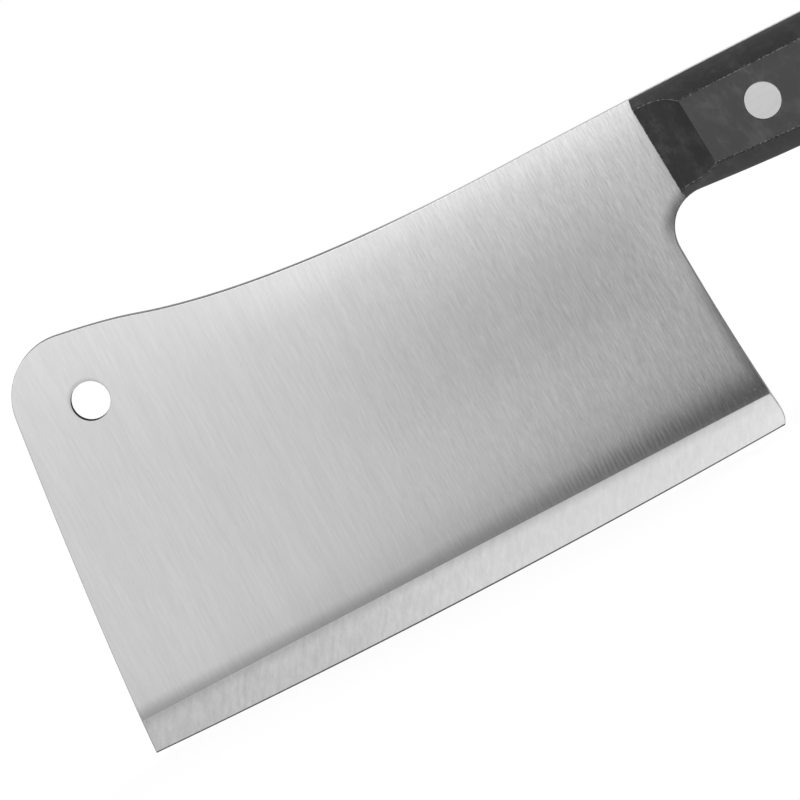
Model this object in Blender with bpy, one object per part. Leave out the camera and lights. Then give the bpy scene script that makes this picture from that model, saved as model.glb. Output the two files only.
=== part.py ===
"""Meat cleaver: a full-tang steel blade between two black plastic scales, held by three rivets.

+X runs from the toe to the butt, +Y through the thickness and +Z from the edge to the spine.
The origin lies midway along the length, in the blade's middle plane and level with the lowest
point of the edge. Outlines are drawn as (x, z) pairs measured from the heel corner, where the
edge meets the heel: x towards the butt, z up from the straight line between heel and toe.
Lengths are in metres.
"""

import math

import bmesh
import bpy
import numpy as np
from mathutils import Vector
from mathutils.geometry import interpolate_bezier

# Blade outline
BLADE_LENGTH = 0.178
SPINE_HEIGHT = 0.0903
TOE_HEIGHT = 0.1048
EDGE_BELLY = 0.0016
TOE_SET_BACK = 0.0085
TOE_BOW = 0.0006
TOE_CORNER_RADIUS = 0.016
TOE_CORNER_SLOPE = math.radians(9.4)
HANGING_HOLE_DIAMETER = 0.010
HANGING_HOLE_FROM_TOE = 0.0274
HANGING_HOLE_BELOW_TOP = 0.0187

# Hollow in the spine: it leaves the straight near the handle and is steepest towards the toe
SPINE_STRAIGHT = 0.024
SPINE_STEEPEST_FROM_TOE = 0.0479
SPINE_STEEPEST_BELOW_TOP = 0.0047
SPINE_STEEPEST_SLOPE = math.radians(17.1)

# Heel and choil: the heel leaves the edge at a slant, stands proud over the bevel and then
# leans towards the toe, less and less, up to the choil
HEEL_SLANT = math.radians(46)
HEEL_BULGE = 0.0005
HEEL_BULGE_HEIGHT = 0.010
HEEL_LEAN_LOW = math.radians(5.6)
HEEL_LEAN_HIGH = math.radians(2.1)
CHOIL_SET_IN = 0.0023
CHOIL_RADIUS = 0.0107

# Blade section
BLADE_THICKNESS = 0.0034
SHOULDER_THICKNESS = 0.0029
EDGE_THICKNESS = 0.0003
MICRO_BEVEL_HEIGHT = 0.0006
MICRO_BEVEL_THICKNESS = 0.0007
BEVEL_HEIGHT = 0.0089
TAPER_HEIGHT = 0.030

# Handle: its underside is set below the spine, and its butt behind the heel corner
HANDLE_REACH = 0.136
HANDLE_THICKNESS = 0.020
HANDLE_FRONT_HEIGHT = 0.0279
HANDLE_FRONT_SLOPE = math.radians(5.3)
HANDLE_BELLY_HEIGHT = 0.0306
HANDLE_BELLY_FROM_HEEL = 0.060
HANDLE_NECK_HEIGHT = 0.0288
HANDLE_NECK_FROM_BUTT = 0.032
HANDLE_HOOK_HEIGHT = 0.0333
HANDLE_HOOK_FROM_BUTT = 0.0085
HANDLE_TAIL_ABOVE_HOOK = 0.0112
HANDLE_TOP_DROP = 0.0012
HANDLE_TOP_FROM_BUTT = 0.014

# Scales: a thin front end that scoops up to full thickness, and facets along the long edges
SCALE_FRONT_FROM_HEEL = 0.0049
SCALE_FRONT_LEAN = math.radians(2.5)
SCALE_FRONT_THICKNESS = 0.0042
SCOOP_LENGTH = 0.0115
SCOOP_POWER = 3.0
FACET_HEIGHT = 0.0050
FACET_CROWN = 1.2

# Rivets
RIVET_HEAD_DIAMETER = 0.009
RIVET_HEAD_THICKNESS = 0.0024
RIVET_TUBE_DIAMETER = 0.006
RIVET_PIN_DIAMETER = 0.004
RIVET_BELOW_FACE = 0.0001
FRONT_RIVET_FROM_HEEL = 0.034
REAR_RIVET_FROM_BUTT = 0.031

# Clearance between pieces that touch
SEAT_GAP = 0.0003

# How far each curve holds its two end headings, as shares of the distance between its ends
BULGE_PULLS = (0.28, 0.40)
HEEL_PULLS = (0.33, 0.33)
HOLLOW_PULLS = (0.09, 0.37)
CREST_PULLS = (0.33, 0.33)
BELLY_PULLS = (0.33, 0.40)
NECK_PULLS = (0.40, 0.40)
HOOK_PULLS = (0.41, 0.35)
TAIL_PULLS = (0.36, 0.46)
BUTT_PULLS = (0.47, 0.32)
HANDLE_TOP_PULLS = (0.35, 0.45)

# Mesh fineness
BLADE_STATIONS = 28
BEVEL_ROWS = 4
TAPER_ROWS = 4
CURVE_POINTS = 14
SCOOP_STATIONS = 10
GRIP_STATIONS = 14
FACET_RINGS = 4
ROUND_SEGMENTS = 40
HOLE_SEGMENTS = 64
SHORTEST_EDGE = 0.0003
CREASE_ANGLE = math.radians(25)

HALF_BLADE = BLADE_THICKNESS / 2
HALF_HANDLE = HANDLE_THICKNESS / 2
SCALE_INNER_FACE = HALF_BLADE + SEAT_GAP
SCALE_THICKNESS = HALF_HANDLE - SCALE_INNER_FACE
CHOIL_TOP = SPINE_HEIGHT - HANDLE_FRONT_HEIGHT
CHOIL_CENTRE_HEIGHT = CHOIL_TOP - CHOIL_RADIUS
NECK_FROM_HEEL = HANDLE_REACH - HANDLE_NECK_FROM_BUTT


# Outlines


def heading(angle, distance):
    """The step of this distance at this angle above +X."""
    return Vector((math.cos(angle), math.sin(angle))) * distance


def curve(start, start_angle, end, end_angle, pulls, count=CURVE_POINTS):
    """A Bezier from start to end, leaving and arriving at the given headings."""
    start, end = Vector(start), Vector(end)
    chord = (end - start).length
    leaving = start + heading(start_angle, pulls[0] * chord)
    arriving = end - heading(end_angle, pulls[1] * chord)
    return interpolate_bezier(start, leaving, arriving, end, count)


def arc(centre, radius, start_angle, end_angle, count=CURVE_POINTS):
    angles = np.linspace(start_angle, end_angle, count)
    return [Vector(centre) + heading(angle, radius) for angle in angles]


def joined(*stretches):
    """One outline from stretches that each start where the last one ends."""
    points = list(stretches[0])
    for stretch in stretches[1:]:
        points += list(stretch)[1:]
    return points


def choil_outline():
    """Up from the heel and round to the front of the handle's underside."""
    centre = (CHOIL_RADIUS - CHOIL_SET_IN, CHOIL_CENTRE_HEIGHT)
    return arc(centre, CHOIL_RADIUS, math.pi + HEEL_LEAN_HIGH, math.pi / 2 - HANDLE_FRONT_SLOPE)


def heel_outline():
    """Up the heel from the edge: rounded over the bevel, then slightly hollow to the choil."""
    bulge = (HEEL_BULGE, HEEL_BULGE_HEIGHT)
    low, high = math.pi / 2 + HEEL_LEAN_LOW, math.pi / 2 + HEEL_LEAN_HIGH
    rounded = curve((0, 0), HEEL_SLANT, bulge, low, BULGE_PULLS)
    return joined(rounded, curve(bulge, low, choil_outline()[0], high, HEEL_PULLS))


def toe_outline():
    """Up the toe from the edge, bowed, to the round corner."""
    corner = toe_corner_centre()
    top = corner + heading(toe_corner_end_angle(), TOE_CORNER_RADIUS)
    start = Vector((-BLADE_LENGTH, 0))
    chord = top - start
    outward = Vector((-chord.y, chord.x)).normalized() * TOE_BOW
    shares = np.linspace(0, 1, CURVE_POINTS)
    return [start + chord * share + outward * 4 * share * (1 - share) for share in shares]


def toe_corner_centre():
    left = -BLADE_LENGTH + TOE_SET_BACK
    return Vector((left + TOE_CORNER_RADIUS, TOE_HEIGHT - TOE_CORNER_RADIUS))


def toe_corner_end_angle():
    """Where the toe's bowed line leaves the corner arc."""
    lean = math.atan2(TOE_SET_BACK, TOE_HEIGHT - TOE_CORNER_RADIUS)
    return math.pi - lean - 4 * TOE_BOW / TOE_HEIGHT


def underside_outline():
    """From the heel's top round the choil and along the handle's underside to its neck."""
    choil = choil_outline()
    belly = (HANDLE_BELLY_FROM_HEEL, SPINE_HEIGHT - HANDLE_BELLY_HEIGHT)
    front = curve(choil[-1], -HANDLE_FRONT_SLOPE, belly, 0, BELLY_PULLS)
    rear = curve(belly, 0, (NECK_FROM_HEEL, SPINE_HEIGHT - HANDLE_NECK_HEIGHT), 0, NECK_PULLS)
    return joined(choil, front, rear)


def butt_outline():
    """From the neck round the hook and the butt to the top of the handle."""
    neck = (NECK_FROM_HEEL, SPINE_HEIGHT - HANDLE_NECK_HEIGHT)
    hook = (HANDLE_REACH - HANDLE_HOOK_FROM_BUTT, SPINE_HEIGHT - HANDLE_HOOK_HEIGHT)
    tail = (HANDLE_REACH, hook[1] + HANDLE_TAIL_ABOVE_HOOK)
    return joined(
        curve(neck, 0, hook, 0, HOOK_PULLS),
        curve(hook, 0, tail, math.pi / 2, TAIL_PULLS),
        curve(tail, math.pi / 2, handle_top_rear(), math.pi, BUTT_PULLS),
    )


def handle_top_rear():
    return Vector((HANDLE_REACH - HANDLE_TOP_FROM_BUTT, SPINE_HEIGHT - HANDLE_TOP_DROP))


def top_outline():
    """From the handle's top rear corner forward to where the spine's straight ends."""
    front = Vector((0, SPINE_HEIGHT))
    handle = curve(handle_top_rear(), math.pi, front, math.pi, HANDLE_TOP_PULLS)
    return joined(handle, [front, Vector((-SPINE_STRAIGHT, SPINE_HEIGHT))])


def spine_outline():
    """The hollow spine and the round toe corner."""
    start = Vector((-SPINE_STRAIGHT, SPINE_HEIGHT))
    steepest = (SPINE_STEEPEST_FROM_TOE - BLADE_LENGTH, TOE_HEIGHT - SPINE_STEEPEST_BELOW_TOP)
    climb = math.pi - SPINE_STEEPEST_SLOPE
    corner_start = math.pi / 2 - TOE_CORNER_SLOPE
    corner = arc(toe_corner_centre(), TOE_CORNER_RADIUS, corner_start, toe_corner_end_angle())
    hollow = curve(start, math.pi, steepest, climb, HOLLOW_PULLS, 2 * CURVE_POINTS)
    crest = curve(steepest, climb, corner[0], math.pi - TOE_CORNER_SLOPE, CREST_PULLS)
    return joined(hollow, crest, corner)


def x_at(outline, height):
    """Where an outline that only rises reaches a height."""
    return float(np.interp(height, [point[1] for point in outline], [point[0] for point in outline]))


def z_at(outline, x):
    """The height of an outline at x, whichever way the outline runs."""
    points = sorted((point[0], point[1]) for point in outline)
    return float(np.interp(x, [point[0] for point in points], [point[1] for point in points]))


# Mesh helpers


def add_quads(bm, first, second):
    """Quads between two rows of the same number of vertices."""
    for index in range(len(first) - 1):
        bm.faces.new((first[index], first[index + 1], second[index + 1], second[index]))


def finish_object(name, bm, material, parent):
    """An object with outward faces, smooth apart from its creases."""
    bmesh.ops.recalc_face_normals(bm, faces=bm.faces[:])
    mesh = bpy.data.meshes.new(name)
    bm.to_mesh(mesh)
    bm.free()
    mesh.shade_smooth()
    mesh.set_sharp_from_angle(angle=CREASE_ANGLE)
    if material:
        mesh.materials.append(material)
    piece = bpy.data.objects.new(name, mesh)
    bpy.context.scene.collection.objects.link(piece)
    piece.parent = parent
    return piece


def turned(name, profile, segments, material, parent, location):
    """A solid turned about Y from (radius, y) pairs that start and end on the axis."""
    bm = bmesh.new()
    rings = []
    for radius, y in profile:
        if radius == 0:
            rings.append([bm.verts.new((0, y, 0))])
            continue
        angles = [2 * math.pi * step / segments for step in range(segments)]
        rings.append([bm.verts.new((radius * math.cos(a), y, radius * math.sin(a))) for a in angles])
    for inner, outer in zip(rings, rings[1:]):
        for step in range(segments):
            corners = [ring[(step + turn) % len(ring)] for ring, turn in
                       ((inner, 0), (inner, 1), (outer, 1), (outer, 0))]
            bm.faces.new(list(dict.fromkeys(corners)))
    piece = finish_object(name, bm, material, parent)
    piece.location = location
    return piece


def cut(piece, cutters):
    for cutter in cutters:
        modifier = piece.modifiers.new(cutter.name, "BOOLEAN")
        modifier.operation = "DIFFERENCE"
        modifier.solver = "EXACT"
        modifier.object = cutter


def as_cutter(piece):
    piece.hide_render = True
    piece.display_type = "WIRE"
    return piece


def steel(name, grey, roughness):
    return material_of(name, (grey, grey, grey * 1.01, 1), roughness, 1.0)


def material_of(name, colour, roughness, metallic):
    material = bpy.data.materials.new(name)
    material.use_nodes = True
    shader = material.node_tree.nodes["Principled BSDF"]
    shader.inputs["Base Color"].default_value = colour
    shader.inputs["Roughness"].default_value = roughness
    shader.inputs["Metallic"].default_value = metallic
    return material


# Blade


def section_rows():
    """(share of the bevel, height above it, half thickness) for each row along the blade."""
    shoulder = SHOULDER_THICKNESS / 2
    micro_share = MICRO_BEVEL_HEIGHT / BEVEL_HEIGHT
    rows = [(0.0, 0.0, EDGE_THICKNESS / 2)]
    for share in np.linspace(micro_share, 1, BEVEL_ROWS):
        along = (share - micro_share) / (1 - micro_share)
        rows.append((share, 0.0, MICRO_BEVEL_THICKNESS / 2 * (1 - along) + shoulder * along))
    for share in np.linspace(0, 1, TAPER_ROWS + 1)[1:]:
        height = (TAPER_HEIGHT - BEVEL_HEIGHT) * share
        rows.append((1.0, height, HALF_BLADE - (HALF_BLADE - shoulder) * (1 - share) ** 2))
    return rows


def row_points(share, lift, heel, toe):
    """A row's (x, z) points from heel to toe: bellied at the edge, straight at the shoulder."""
    level = BEVEL_HEIGHT * share + lift
    ends = x_at(heel, level), x_at(toe, level)
    points = []
    for along in np.linspace(0, 1, BLADE_STATIONS + 1):
        sag = 4 * EDGE_BELLY * along * (1 - along) * (1 - share)
        points.append((ends[0] + (ends[1] - ends[0]) * along, level - sag))
    return points


def make_blade(material, parent):
    heel, toe = heel_outline(), toe_outline()
    body = joined(heel, underside_outline(), butt_outline(), top_outline(), spine_outline(), toe[::-1])
    above = [point for point in body if point[1] > TAPER_HEIGHT + SHORTEST_EDGE]
    rows = section_rows()
    bm = bmesh.new()
    borders = []
    for side in (-1, 1):
        grid = []
        for share, lift, half in rows:
            points = row_points(share, lift, heel, toe)
            grid.append([bm.verts.new((x, side * half, z)) for x, z in points])
        for lower, upper in zip(grid, grid[1:]):
            add_quads(bm, lower, upper)
        outline = [bm.verts.new((point[0], side * HALF_BLADE, point[1])) for point in above]
        bm.faces.new(outline + grid[-1][::-1])
        heel_end = [row[0] for row in grid]
        toe_end = [row[-1] for row in grid]
        borders.append(grid[0] + toe_end[1:] + outline[::-1] + heel_end[:0:-1])
    near, far = borders
    add_quads(bm, near + near[:1], far + far[:1])
    part_blade_from_tang(bm)
    return finish_object("blade", bm, material, parent)


def part_blade_from_tang(bm):
    """An edge across each side just clear of the scales, so that no face runs in under them."""
    everything = bm.verts[:] + bm.edges[:] + bm.faces[:]
    tang_start = (scale_front(SPINE_HEIGHT) - SEAT_GAP, 0, 0)
    bmesh.ops.bisect_plane(bm, geom=everything, plane_co=tang_start, plane_no=(1, 0, 0))


# Scales


def scale_front(height):
    """The front line of the scales, leaning towards the toe as it rises."""
    return SCALE_FRONT_FROM_HEEL - (height - CHOIL_TOP) * math.tan(SCALE_FRONT_LEAN)


def scale_thickness(x, height):
    """Full thickness, scooped down to the front line."""
    share = min(max((x - scale_front(height)) / SCOOP_LENGTH, 0.0), 1.0)
    rise = SCALE_THICKNESS - SCALE_FRONT_THICKNESS
    return SCALE_FRONT_THICKNESS + rise * share**SCOOP_POWER


def facet_inset(thickness):
    """How far in from the outline the facet has come at this thickness."""
    return FACET_HEIGHT * (thickness / SCALE_THICKNESS) ** FACET_CROWN


def scale_shares():
    """Shares of the way from the front line to the neck: close together over the scoop."""
    scoop_end = SCOOP_LENGTH / (NECK_FROM_HEEL - scale_front(CHOIL_TOP))
    scoop = np.linspace(0, scoop_end, SCOOP_STATIONS)
    grip = np.linspace(scoop_end, 1, GRIP_STATIONS)
    return list(scoop) + list(grip)[1:]


def scale_outline():
    """(point, inward direction) round a scale, from its lower front corner to its upper one."""
    underside = [point for point in underside_outline() if point[1] > CHOIL_CENTRE_HEIGHT]
    top = top_outline()
    lower, upper = [], []
    for outline, points, inward, level in (
        (underside, lower, Vector((0, 1)), CHOIL_TOP),
        (top, upper, Vector((0, -1)), SPINE_HEIGHT),
    ):
        front = scale_front(level)
        for share in scale_shares():
            x = front + (NECK_FROM_HEEL - front) * share
            points.append((Vector((x, z_at(outline, x))), inward))
    behind_neck = [point for point in top if point[0] > NECK_FROM_HEEL + SHORTEST_EDGE]
    tail = joined(butt_outline(), behind_neck)[1:]
    path = [lower[-1][0]] + tail + [upper[-1][0]]
    butt = []
    for before, point, after in zip(path, path[1:], path[2:]):
        along = (after - before).normalized()
        butt.append((point, Vector((-along.y, along.x))))
    return lower, butt, upper[::-1]


def make_scale(name, side, material, parent):
    lower, butt, upper = scale_outline()
    outline = lower + butt + upper
    bm = bmesh.new()
    rings = []
    for share in np.linspace(0, 1, FACET_RINGS):
        ring = []
        for point, inward in outline:
            thickness = scale_thickness(point.x, point.y) * share
            moved = point + inward * facet_inset(thickness)
            y = side * (SCALE_INNER_FACE + thickness)
            ring.append(bm.verts.new((moved.x, y, moved.y)))
        rings.append(ring)
    for inner, outer in zip(rings, rings[1:]):
        add_quads(bm, inner, outer)
    face = rings[-1]
    add_quads(bm, face[: len(lower)], face[: -len(lower) - 1 : -1])
    bm.faces.new(face[len(lower) - 1 : len(lower) + len(butt) + 1])
    bm.faces.new(rings[0])
    bm.faces.new([ring[0] for ring in rings] + [ring[-1] for ring in reversed(rings)])
    return finish_object(name, bm, material, parent)


# Rivets


def rivet_places():
    """Rivet centres as (x, z): evenly spaced and on the handle's middle line."""
    underside, top = underside_outline()[CURVE_POINTS:], top_outline()
    first = FRONT_RIVET_FROM_HEEL
    last = HANDLE_REACH - REAR_RIVET_FROM_BUTT
    places = []
    for x in (first, (first + last) / 2, last):
        places.append((x, (z_at(underside, x) + z_at(top, x)) / 2))
    return places


def make_rivet(name, place, material, parent):
    """The female half, with its head on the left, and the male half, whose pin it takes."""
    face = HALF_HANDLE - RIVET_BELOW_FACE
    seat = face - RIVET_HEAD_THICKNESS
    head = RIVET_HEAD_DIAMETER / 2
    tube = RIVET_TUBE_DIAMETER / 2
    pin = RIVET_PIN_DIAMETER / 2
    bore = pin + SEAT_GAP
    mouth = seat - SEAT_GAP
    female = [(0, -face), (head, -face), (head, -seat), (tube, -seat), (tube, mouth),
              (bore, mouth), (bore, -seat), (0, -seat)]
    male = [(0, face), (head, face), (head, seat), (pin, seat), (pin, -mouth), (0, -mouth)]
    location = (place[0], 0, place[1])
    turned(name + "_female", female, ROUND_SEGMENTS, material, parent, location)
    turned(name + "_male", male, ROUND_SEGMENTS, material, parent, location)


def make_rivet_cutter(name, place, parent):
    """The stepped hole through both scales and the tang."""
    outside = HALF_HANDLE + RIVET_HEAD_THICKNESS
    seat = HALF_HANDLE - RIVET_BELOW_FACE - RIVET_HEAD_THICKNESS - SEAT_GAP
    head = RIVET_HEAD_DIAMETER / 2 + SEAT_GAP
    tube = RIVET_TUBE_DIAMETER / 2 + SEAT_GAP
    profile = [(0, -outside), (head, -outside), (head, -seat), (tube, -seat),
               (tube, seat), (head, seat), (head, outside), (0, outside)]
    cutter = turned(name, profile, ROUND_SEGMENTS, None, parent, (place[0], 0, place[1]))
    return as_cutter(cutter)


def make_hanging_hole_cutter(parent):
    radius = HANGING_HOLE_DIAMETER / 2
    reach = BLADE_THICKNESS
    profile = [(0, -reach), (radius, -reach), (radius, reach), (0, reach)]
    place = (HANGING_HOLE_FROM_TOE - BLADE_LENGTH, 0, TOE_HEIGHT - HANGING_HOLE_BELOW_TOP)
    return as_cutter(turned("hanging_hole_cutter", profile, HOLE_SEGMENTS, None, parent, place))


def clear_scene():
    for piece in list(bpy.data.objects):
        bpy.data.objects.remove(piece, do_unlink=True)


def main():
    clear_scene()
    heel_corner = bpy.data.objects.new("heel_corner", None)
    heel_corner.location = ((BLADE_LENGTH - HANDLE_REACH) / 2, 0, EDGE_BELLY)
    bpy.context.scene.collection.objects.link(heel_corner)

    blade_steel = steel("brushed_blade_steel", 0.55, 0.32)
    rivet_steel = steel("rivet_steel", 0.60, 0.28)
    plastic = material_of("black_handle_plastic", (0.018, 0.018, 0.019, 1), 0.42, 0.0)

    blade = make_blade(blade_steel, heel_corner)
    left = make_scale("left_scale", -1, plastic, heel_corner)
    right = make_scale("right_scale", 1, plastic, heel_corner)

    cutters = []
    for name, place in zip(("front_rivet", "middle_rivet", "rear_rivet"), rivet_places()):
        make_rivet(name, place, rivet_steel, heel_corner)
        cutters.append(make_rivet_cutter(name + "_hole_cutter", place, heel_corner))
    for piece in (blade, left, right):
        cut(piece, cutters)
    cut(blade, [make_hanging_hole_cutter(heel_corner)])


main()
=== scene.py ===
"""Looks for the meat cleaver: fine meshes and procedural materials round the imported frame.

+X runs from the toe to the butt, +Y through the thickness and +Z from the edge to the spine.
Outlines are (x, z) pairs measured from the heel corner, where the edge meets the heel.
Lengths are in metres.
"""

import math
from typing import NamedTuple

import bmesh
import bpy
import numpy as np
from mathutils import Matrix, Vector
from mathutils.geometry import interpolate_bezier, tessellate_polygon


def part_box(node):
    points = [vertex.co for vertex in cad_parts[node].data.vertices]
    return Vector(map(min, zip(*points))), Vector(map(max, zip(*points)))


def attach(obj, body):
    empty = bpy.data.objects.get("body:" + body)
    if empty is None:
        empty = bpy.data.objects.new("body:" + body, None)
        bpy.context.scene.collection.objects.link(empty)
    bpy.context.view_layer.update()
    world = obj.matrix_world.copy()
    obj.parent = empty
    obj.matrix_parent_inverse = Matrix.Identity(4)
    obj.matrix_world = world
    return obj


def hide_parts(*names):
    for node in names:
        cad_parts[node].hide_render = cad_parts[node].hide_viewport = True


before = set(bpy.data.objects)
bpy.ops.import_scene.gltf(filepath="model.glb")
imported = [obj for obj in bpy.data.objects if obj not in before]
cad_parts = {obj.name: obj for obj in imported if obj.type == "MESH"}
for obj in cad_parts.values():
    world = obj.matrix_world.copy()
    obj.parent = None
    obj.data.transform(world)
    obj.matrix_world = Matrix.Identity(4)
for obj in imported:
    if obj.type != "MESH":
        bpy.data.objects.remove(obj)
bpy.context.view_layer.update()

# Driving dimensions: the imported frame's, and two that its boxes don't give
BLADE_LOW, BLADE_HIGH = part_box("blade")
SCALE_LOW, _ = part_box("left_scale")
RIVET_NAMES = ("front_rivet", "middle_rivet", "rear_rivet")
EDGE_BELLY = 0.0016
BLADE_LENGTH = 0.178
HEEL_X = BLADE_LOW.x + BLADE_LENGTH
EDGE_Z = BLADE_LOW.z + EDGE_BELLY
TOE_HEIGHT = BLADE_HIGH.z - EDGE_Z
HALF_BLADE = BLADE_HIGH.y
HANDLE_REACH = BLADE_HIGH.x - HEEL_X
HALF_HANDLE = -SCALE_LOW.y

# Blade outline
SPINE_HEIGHT = 0.0903
TOE_SET_BACK = 0.0085
TOE_BOW = 0.0006
TOE_CORNER_RADIUS = 0.016
TOE_CORNER_SLOPE = math.radians(9.4)
HANGING_HOLE_DIAMETER = 0.010
HANGING_HOLE_FROM_TOE = 0.0274
HANGING_HOLE_BELOW_TOP = 0.0187
SPINE_STRAIGHT = 0.024
SPINE_STEEPEST_FROM_TOE = 0.0479
SPINE_STEEPEST_BELOW_TOP = 0.0047
SPINE_STEEPEST_SLOPE = math.radians(17.1)
HEEL_SLANT = math.radians(46)
HEEL_BULGE = 0.0005
HEEL_BULGE_HEIGHT = 0.010
HEEL_LEAN_LOW = math.radians(5.6)
HEEL_LEAN_HIGH = math.radians(2.1)
CHOIL_SET_IN = 0.0023
CHOIL_RADIUS = 0.0107

# Blade section
SHOULDER_THICKNESS = 0.0029
EDGE_THICKNESS = 0.0003
MICRO_BEVEL_HEIGHT = 0.0004
MICRO_BEVEL_THICKNESS = 0.0006
BEVEL_HEIGHT = 0.0089
TAPER_HEIGHT = 0.030
TAPER_POWER = 4
SHOULDER_ROUNDING_BELOW = 0.0006
SHOULDER_ROUNDING_ABOVE = 0.00015
SHOULDER_SLOPE_SHARE = 0.2
EASED_EDGE = 0.00020
EASED_CUTTING_EDGE = 0.00005
EASED_HOLE = 0.00006

# The spine's hollow is worn rounder. Its ends are shares of the blade's length from the toe.
SPINE_WEAR = 0.9
WORN_FROM = 0.18
WORN_TO = 0.80
WORN_FADE = 0.18
FACES_UP = 0.8

# Handle outline
HANDLE_FRONT_HEIGHT = 0.0279
HANDLE_FRONT_SLOPE = math.radians(5.3)
HANDLE_BELLY_HEIGHT = 0.0306
HANDLE_BELLY_FROM_HEEL = 0.060
HANDLE_NECK_HEIGHT = 0.0288
HANDLE_NECK_FROM_BUTT = 0.032
HANDLE_HOOK_HEIGHT = 0.0333
HANDLE_HOOK_FROM_BUTT = 0.0085
HANDLE_TAIL_ABOVE_HOOK = 0.0112
HANDLE_TOP_DROP = 0.0012
HANDLE_TOP_FROM_BUTT = 0.014

# Scales
SCALE_FRONT_FROM_HEEL = 0.0049
SCALE_FRONT_LEAN = math.radians(2.5)
SCALE_FRONT_THICKNESS = 0.0042
SCOOP_LENGTH = 0.0115
SCOOP_POWER = 3.0
FACET_HEIGHT = 0.0050
FACET_CROWN = 1.2
SCALE_SEAM = 0.00003
RIDGE_ROUNDING = 0.00022
GROOVE_WIDTH = 0.00022
GROOVE_DEPTH = 0.000012

# (inset, drop) of each ring over the ridge and across the groove, as shares of their sizes
RIDGE_RINGS = ((-1 / 8, 1 / 3), (1 / 4, 1 / 12), (1, 0))
GROOVE_RINGS = ((1 / 4, 1), (3 / 4, 1), (1, 0))

# Rivets
RIVET_HEAD_THICKNESS = 0.0024
RIVET_TUBE_DIAMETER = 0.006
RIVET_PIN_DIAMETER = 0.004
RIVET_BORE_GAP = 0.0003
RIVET_JOINT = 0.00005
RIVET_CHAMFER = 0.00015

# How far each curve holds its two end headings, as shares of the distance between its ends
BULGE_PULLS = (0.28, 0.40)
HEEL_PULLS = (0.33, 0.33)
HOLLOW_PULLS = (0.09, 0.37)
CREST_PULLS = (0.33, 0.33)
BELLY_PULLS = (0.33, 0.40)
NECK_PULLS = (0.40, 0.40)
HOOK_PULLS = (0.41, 0.35)
TAIL_PULLS = (0.36, 0.46)
BUTT_PULLS = (0.47, 0.32)
HANDLE_TOP_PULLS = (0.35, 0.45)

# Mesh fineness
BLADE_STATIONS = 90
BEVEL_ROWS = 8
TAPER_ROWS = 14
CURVE_POINTS = 36
EASE_STEPS = 4
SCOOP_STATIONS = 32
SCOOP_ROWS = 12
GRIP_STATIONS = 40
FACET_RINGS = 8
ROUND_SEGMENTS = 96
SHORTEST_EDGE = 0.0003
CREASE_ANGLE = math.radians(50)
RIVET_CREASE_ANGLE = math.radians(20)

SCALE_INNER_FACE = HALF_BLADE + SCALE_SEAM
SCALE_THICKNESS = HALF_HANDLE - SCALE_INNER_FACE
CHOIL_TOP = SPINE_HEIGHT - HANDLE_FRONT_HEIGHT
CHOIL_CENTRE_HEIGHT = CHOIL_TOP - CHOIL_RADIUS
NECK_FROM_HEEL = HANDLE_REACH - HANDLE_NECK_FROM_BUTT

# Camera: rolled, and looking from a little above and from the handle's side
VIEW_WIDTH = 0.1996
VIEW_CENTRE = Vector((-0.0612, 0, 0.0518))
VIEW_ROLL = math.radians(27.87)
VIEW_LIFT = math.radians(7.0)
VIEW_TURN = math.radians(3.0)
VIEW_DISTANCE = 5.0
VIEW_CLIP = (0.1, 100)


# Outlines


def heading(angle, distance):
    """The step of this distance at this angle above +X."""
    return Vector((math.cos(angle), math.sin(angle))) * distance


def curve(start, start_angle, end, end_angle, pulls, count=CURVE_POINTS):
    """A Bezier from start to end, leaving and arriving at the given headings."""
    start, end = Vector(start), Vector(end)
    chord = (end - start).length
    leaving = start + heading(start_angle, pulls[0] * chord)
    arriving = end - heading(end_angle, pulls[1] * chord)
    return interpolate_bezier(start, leaving, arriving, end, count)


def arc(centre, radius, start_angle, end_angle, count=CURVE_POINTS):
    angles = np.linspace(start_angle, end_angle, count)
    return [Vector(centre) + heading(angle, radius) for angle in angles]


def joined(*stretches):
    """One outline from stretches that each start where the last one ends."""
    points = list(stretches[0])
    for stretch in stretches[1:]:
        points += list(stretch)[1:]
    return points


def choil_outline():
    """Up from the heel and round to the front of the handle's underside."""
    centre = (CHOIL_RADIUS - CHOIL_SET_IN, CHOIL_CENTRE_HEIGHT)
    return arc(centre, CHOIL_RADIUS, math.pi + HEEL_LEAN_HIGH, math.pi / 2 - HANDLE_FRONT_SLOPE)


def heel_outline():
    """Up the heel from the edge: rounded over the bevel, then slightly hollow to the choil."""
    bulge = (HEEL_BULGE, HEEL_BULGE_HEIGHT)
    low, high = math.pi / 2 + HEEL_LEAN_LOW, math.pi / 2 + HEEL_LEAN_HIGH
    rounded = curve((0, 0), HEEL_SLANT, bulge, low, BULGE_PULLS)
    return joined(rounded, curve(bulge, low, choil_outline()[0], high, HEEL_PULLS))


def toe_corner_centre():
    left = -BLADE_LENGTH + TOE_SET_BACK
    return Vector((left + TOE_CORNER_RADIUS, TOE_HEIGHT - TOE_CORNER_RADIUS))


def toe_corner_end_angle():
    """Where the toe's bowed line leaves the corner arc."""
    lean = math.atan2(TOE_SET_BACK, TOE_HEIGHT - TOE_CORNER_RADIUS)
    return math.pi - lean - 4 * TOE_BOW / TOE_HEIGHT


def toe_outline():
    """Up the toe from the edge, bowed, to the round corner."""
    corner = toe_corner_centre()
    top = corner + heading(toe_corner_end_angle(), TOE_CORNER_RADIUS)
    start = Vector((-BLADE_LENGTH, 0))
    chord = top - start
    outward = Vector((-chord.y, chord.x)).normalized() * TOE_BOW
    shares = np.linspace(0, 1, CURVE_POINTS)
    return [start + chord * share + outward * 4 * share * (1 - share) for share in shares]


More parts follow.
